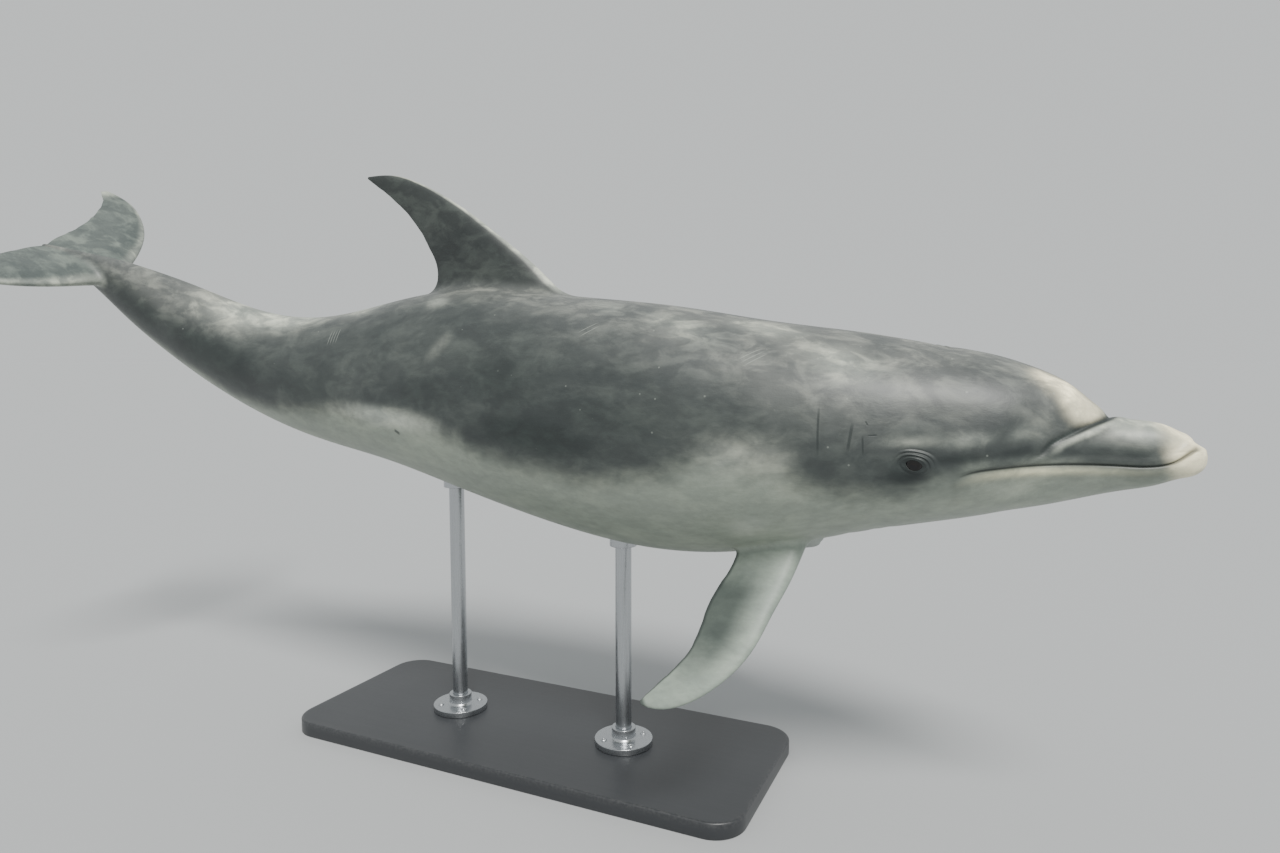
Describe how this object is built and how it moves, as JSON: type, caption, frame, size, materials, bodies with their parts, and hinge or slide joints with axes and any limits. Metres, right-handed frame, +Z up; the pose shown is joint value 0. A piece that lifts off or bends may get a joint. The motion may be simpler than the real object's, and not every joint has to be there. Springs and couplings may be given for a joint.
{
  "type": "bottlenose dolphin, still life-size model on a display stand",
  "caption": "Life-size bottlenose dolphin gliding with its tail raised and bent to the right, carried by plain rods on a flat base.",
  "frame": {"origin": "middle of the underside of the stand's base, on the floor", "axes": "+X ahead, towards the snout; +Y to the animal's left; +Z up"},
  "size_m": [2.4919, 0.8868, 1.2442],
  "materials": {
    "skin": "smooth wet satin, mottled grey back and pale belly",
    "jaw_skin": "smooth wet satin, pale",
    "fin_skin": "smooth wet satin, grey",
    "eye": "wet gloss, very dark brown",
    "stand_base": "satin charcoal paint",
    "stand_steel": "fine brushed"
  },
  "bodies": {
    "root": {"upper_beak": "skin", "head": "skin", "trunk": "skin", "tail_stock": "skin", "tail_end": "skin", "lower_jaw": "jaw_skin", "dorsal_fin": "fin_skin", "flipper_left": "fin_skin", "flipper_right": "fin_skin", "fluke_left": "fin_skin", "fluke_right": "fin_skin", "eye_left": "eye", "eye_right": "eye", "stand_base": "stand_base", "stand_flange_front": "stand_steel", "stand_rod_front": "stand_steel", "stand_collar_front": "stand_steel", "stand_flange_rear": "stand_steel", "stand_rod_rear": "stand_steel", "stand_collar_rear": "stand_steel"}
  },
  "joints": []
}
